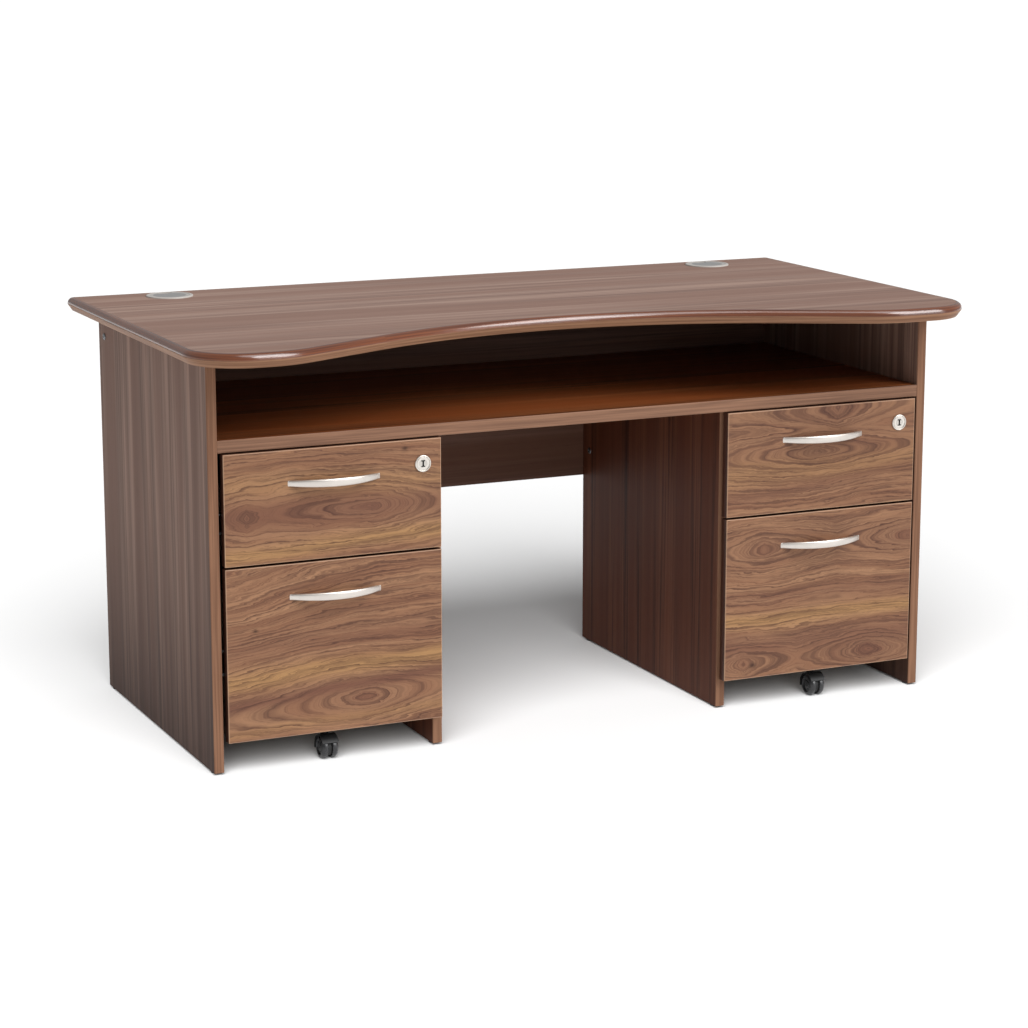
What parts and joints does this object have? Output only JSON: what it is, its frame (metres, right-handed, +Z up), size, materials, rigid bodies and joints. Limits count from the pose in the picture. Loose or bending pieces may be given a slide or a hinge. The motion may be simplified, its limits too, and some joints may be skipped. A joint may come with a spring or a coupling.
{
  "type": "writing desk",
  "caption": "Twin-pedestal writing desk with a wave-front moulded worktop, shelf under it, locking drawers and castored file drawers.",
  "frame": {"origin": "on the floor under the middle of the worktop", "axes": "+X to the desk's right seen from its user's side, +Y to its back, +Z up"},
  "size_m": [1.5, 0.8, 0.7475],
  "materials": {
    "worktop_laminate": "satin walnut laminate, grain along the width",
    "edge_lacquer": "glossy red-brown lacquered moulding",
    "panel_laminate": "satin walnut laminate, upright grain",
    "shelf_laminate": "satin walnut laminate, grain along the width",
    "front_laminate": "satin walnut laminate, figured lying grain",
    "back_laminate": "satin walnut laminate, grain along the width",
    "box_laminate": "plain grey-brown drawer board",
    "handle_nickel": "satin nickel",
    "lock_nickel": "polished nickel",
    "zinc_steel": "zinc-plated steel",
    "ring_metal": "satin silver",
    "lid_metal": "satin grey",
    "castor_plastic": "black nylon",
    "castor_tread": "black tread",
    "glide_plastic": "black plastic"
  },
  "bodies": {
    "desk": {"worktop": "worktop_laminate", "worktop_edge_moulding": "edge_lacquer", "left_end_panel": "panel_laminate", "right_end_panel": "panel_laminate", "left_inner_panel": "panel_laminate", "right_inner_panel": "panel_laminate", "shelf": "shelf_laminate", "back_panel": "back_laminate", "left_pedestal_back": "back_laminate", "right_pedestal_back": "back_laminate", "panel_glides": "glide_plastic", "connector_bolts": "zinc_steel", "cam_fittings": "zinc_steel", "grommet_rings": "ring_metal", "upper_runner_rails": "zinc_steel", "file_runner_rails": "zinc_steel", "lock_keepers": "zinc_steel"},
    "left_grommet_lid": {"left_grommet_lid": "lid_metal"},
    "left_upper_drawer": {"left_upper_drawer_front": "front_laminate", "left_upper_drawer_left_side": "box_laminate", "left_upper_drawer_right_side": "box_laminate", "left_upper_drawer_back": "box_laminate", "left_upper_drawer_bottom": "box_laminate", "left_upper_drawer_slides": "zinc_steel", "left_upper_handle": "handle_nickel", "left_lock_housing": "lock_nickel"},
    "left_file_drawer": {"left_file_drawer_front": "front_laminate", "left_file_drawer_left_side": "box_laminate", "left_file_drawer_right_side": "box_laminate", "left_file_drawer_back": "box_laminate", "left_file_drawer_bottom": "box_laminate", "left_file_drawer_slides": "zinc_steel", "left_file_handle": "handle_nickel", "left_castor_plate": "zinc_steel"},
    "left_file_drawer_middle": {"left_file_drawer_middle_members": "zinc_steel"},
    "left_lock_cylinder": {"left_lock_cylinder": "lock_nickel"},
    "left_castor_hood": {"left_castor_hood": "castor_plastic"},
    "left_castor_wheels": {"left_castor_wheels": "castor_tread"},
    "right_grommet_lid": {"right_grommet_lid": "lid_metal"},
    "right_upper_drawer": {"right_upper_drawer_front": "front_laminate", "right_upper_drawer_left_side": "box_laminate", "right_upper_drawer_right_side": "box_laminate", "right_upper_drawer_back": "box_laminate", "right_upper_drawer_bottom": "box_laminate", "right_upper_drawer_slides": "zinc_steel", "right_upper_handle": "handle_nickel", "right_lock_housing": "lock_nickel"},
    "right_file_drawer": {"right_file_drawer_front": "front_laminate", "right_file_drawer_left_side": "box_laminate", "right_file_drawer_right_side": "box_laminate", "right_file_drawer_back": "box_laminate", "right_file_drawer_bottom": "box_laminate", "right_file_drawer_slides": "zinc_steel", "right_file_handle": "handle_nickel", "right_castor_plate": "zinc_steel"},
    "right_file_drawer_middle": {"right_file_drawer_middle_members": "zinc_steel"},
    "right_lock_cylinder": {"right_lock_cylinder": "lock_nickel"},
    "right_castor_hood": {"right_castor_hood": "castor_plastic"},
    "right_castor_wheels": {"right_castor_wheels": "castor_tread"}
  },
  "joints": [
    {"name": "left_grommet_lid_turn", "type": "hinge", "parent": "desk", "child": "left_grommet_lid", "pos_m": [-0.57, 0.331, 0.7455], "axis": [0, 0, 1], "continuous": true},
    {"name": "left_upper_drawer_slide", "type": "slide", "parent": "desk", "child": "left_upper_drawer", "axis": [0, -1, 0], "range_m": [0, 0.37]},
    {"name": "left_file_drawer_slide", "type": "slide", "parent": "desk", "child": "left_file_drawer", "axis": [0, -1, 0], "range_m": [0, 0.48]},
    {"name": "left_file_drawer_middle_slide", "type": "slide", "parent": "desk", "child": "left_file_drawer_middle", "axis": [0, -1, 0], "range_m": [0, 0.24]},
    {"name": "left_lock_turn", "type": "hinge", "parent": "left_upper_drawer", "child": "left_lock_cylinder", "pos_m": [-0.3175, -0.29, 0.516], "axis": [0, 1, 0], "range_deg": [0, 90]},
    {"name": "left_castor_swivel", "type": "hinge", "parent": "left_file_drawer", "child": "left_castor_hood", "pos_m": [-0.4905, -0.248, 0.05], "axis": [0, 0, 1], "continuous": true},
    {"name": "left_castor_roll", "type": "hinge", "parent": "left_castor_hood", "child": "left_castor_wheels", "pos_m": [-0.4905, -0.26, 0.02], "axis": [1, 0, 0], "continuous": true},
    {"name": "right_grommet_lid_turn", "type": "hinge", "parent": "desk", "child": "right_grommet_lid", "pos_m": [0.57, 0.331, 0.7455], "axis": [0, 0, 1], "continuous": true},
    {"name": "right_upper_drawer_slide", "type": "slide", "parent": "desk", "child": "right_upper_drawer", "axis": [0, -1, 0], "range_m": [0, 0.37]},
    {"name": "right_file_drawer_slide", "type": "slide", "parent": "desk", "child": "right_file_drawer", "axis": [0, -1, 0], "range_m": [0, 0.48]},
    {"name": "right_file_drawer_middle_slide", "type": "slide", "parent": "desk", "child": "right_file_drawer_middle", "axis": [0, -1, 0], "range_m": [0, 0.24]},
    {"name": "right_lock_turn", "type": "hinge", "parent": "right_upper_drawer", "child": "right_lock_cylinder", "pos_m": [0.6455, -0.29, 0.516], "axis": [0, 1, 0], "range_deg": [0, 90]},
    {"name": "right_castor_swivel", "type": "hinge", "parent": "right_file_drawer", "child": "right_castor_hood", "pos_m": [0.4905, -0.248, 0.05], "axis": [0, 0, 1], "continuous": true},
    {"name": "right_castor_roll", "type": "hinge", "parent": "right_castor_hood", "child": "right_castor_wheels", "pos_m": [0.4905, -0.26, 0.02], "axis": [1, 0, 0], "continuous": true}
  ],
  "couplings": [
    {"joint": "left_file_drawer_middle_slide", "follows": "left_file_drawer_slide", "ratio": 0.5},
    {"joint": "right_file_drawer_middle_slide", "follows": "right_file_drawer_slide", "ratio": 0.5}
  ]
}
